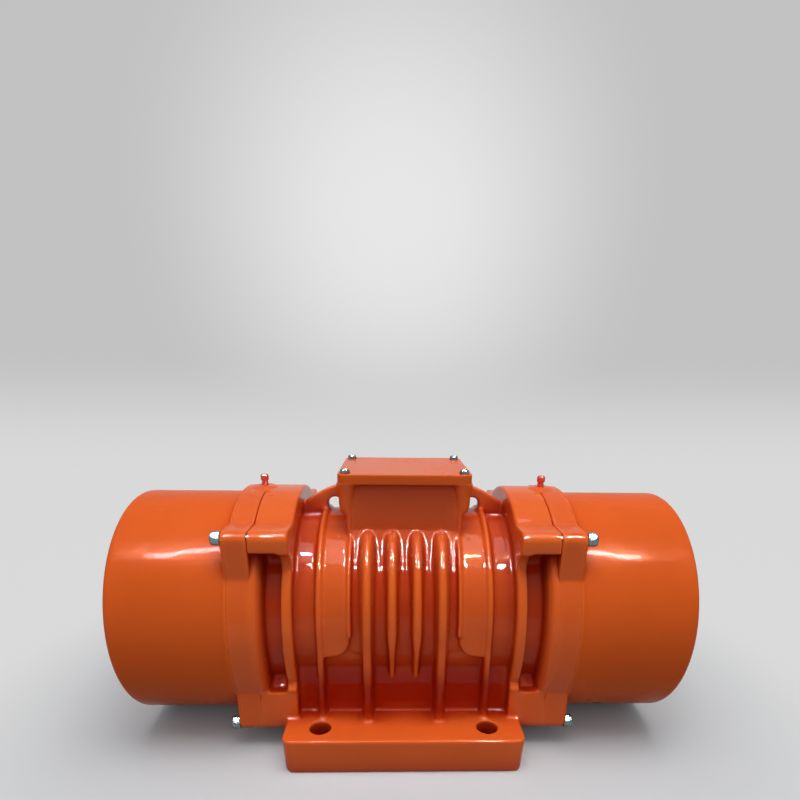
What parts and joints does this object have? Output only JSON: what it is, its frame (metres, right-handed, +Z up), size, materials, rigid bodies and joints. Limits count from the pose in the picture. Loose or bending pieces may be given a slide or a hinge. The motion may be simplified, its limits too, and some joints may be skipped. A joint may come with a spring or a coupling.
{
  "type": "vibration motor",
  "caption": "Unbalance vibration motor: ribbed cast casing on a bolted foot, terminal box on top, and drawn covers over the adjustable eccentric weights at both shaft ends.",
  "frame": {"origin": "centre of the foot's underside, midway between the four foot holes", "axes": "+Z up out of the foot, +X along the shaft, the pictured side faces -Y and the cable gland faces +Y"},
  "size_m": [0.52, 0.268, 0.2614],
  "materials": {
    "cast_paint": "thick glossy orange enamel over cast iron",
    "cover_paint": "glossy orange enamel over drawn steel",
    "nipple_paint": "enamelled steel",
    "seal_rubber": "black nitrile rubber",
    "zinc": "bright zinc plated steel",
    "bakelite": "moulded phenolic",
    "brass": "machined brass",
    "nickel_brass": "nickel plated brass",
    "shaft_steel": "ground steel",
    "bearing_steel": "polished bearing steel",
    "lamination": "stacked electrical steel",
    "copper_varnish": "varnished copper wire",
    "cast_aluminium": "die-cast aluminium",
    "bare_iron": "phosphated cast iron",
    "spring_steel": "blued spring steel"
  },
  "bodies": {
    "housing": {"casing": "cast_paint", "terminal_box": "cast_paint", "terminal_box_lid": "cast_paint", "lid_gasket": "seal_rubber", "lid_screws": "zinc", "terminal_block": "bakelite", "terminal_studs": "brass", "earth_screw": "brass", "cable_gland_body": "nickel_brass", "cable_gland_nut": "nickel_brass", "cable_gland_seal": "seal_rubber", "stator_core": "lamination", "stator_winding": "copper_varnish", "lifting_web_left": "cast_paint", "bearing_flange_left": "cast_paint", "weight_cover_left": "cover_paint", "cover_seal_left": "seal_rubber", "corner_screws_left": "zinc", "flange_bolts_left": "zinc", "grease_nipple_left": "nipple_paint", "bearing_outer_ring_left": "bearing_steel", "bearing_cap_left": "bare_iron", "cap_screws_left": "zinc", "shaft_seal_left": "seal_rubber", "lifting_web_right": "cast_paint", "bearing_flange_right": "cast_paint", "weight_cover_right": "cover_paint", "cover_seal_right": "seal_rubber", "corner_screws_right": "zinc", "flange_bolts_right": "zinc", "grease_nipple_right": "nipple_paint", "bearing_outer_ring_right": "bearing_steel", "bearing_cap_right": "bare_iron", "cap_screws_right": "zinc", "shaft_seal_right": "seal_rubber"},
    "rotor": {"shaft": "shaft_steel", "rotor_core": "lamination", "rotor_cage": "cast_aluminium", "bearing_inner_ring_left": "bearing_steel", "spacer_ring_left": "shaft_steel", "fixed_weight_left": "bare_iron", "weight_key_left": "shaft_steel", "scale_disc_left": "cast_aluminium", "thrust_washer_left": "zinc", "circlip_left": "spring_steel", "bearing_inner_ring_right": "bearing_steel", "spacer_ring_right": "shaft_steel", "fixed_weight_right": "bare_iron", "weight_key_right": "shaft_steel", "scale_disc_right": "cast_aluminium", "thrust_washer_right": "zinc", "circlip_right": "spring_steel"},
    "cage_left": {"bearing_cage_left": "brass", "bearing_rollers_left": "bearing_steel"},
    "weight_left": {"adjustable_weight_left": "bare_iron", "clamp_bolt_left": "zinc"},
    "cage_right": {"bearing_cage_right": "brass", "bearing_rollers_right": "bearing_steel"},
    "weight_right": {"adjustable_weight_right": "bare_iron", "clamp_bolt_right": "zinc"}
  },
  "joints": [
    {"name": "rotor_spin", "type": "hinge", "parent": "housing", "child": "rotor", "pos_m": [0, 0, 0.118], "axis": [1, 0, 0], "continuous": true},
    {"name": "cage_left_spin", "type": "hinge", "parent": "housing", "child": "cage_left", "pos_m": [-0.1425, 0, 0.118], "axis": [1, 0, 0], "continuous": true},
    {"name": "weight_left_adjust", "type": "hinge", "parent": "rotor", "child": "weight_left", "pos_m": [-0.2188, 0, 0.118], "axis": [1, 0, 0], "range_deg": [0, 180]},
    {"name": "cage_right_spin", "type": "hinge", "parent": "housing", "child": "cage_right", "pos_m": [0.1425, 0, 0.118], "axis": [1, 0, 0], "continuous": true},
    {"name": "weight_right_adjust", "type": "hinge", "parent": "rotor", "child": "weight_right", "pos_m": [0.2188, 0, 0.118], "axis": [1, 0, 0], "range_deg": [0, 180]}
  ],
  "couplings": [
    {"joint": "cage_left_spin", "follows": "rotor_spin", "ratio": 0.40769},
    {"joint": "cage_right_spin", "follows": "rotor_spin", "ratio": 0.40769}
  ]
}
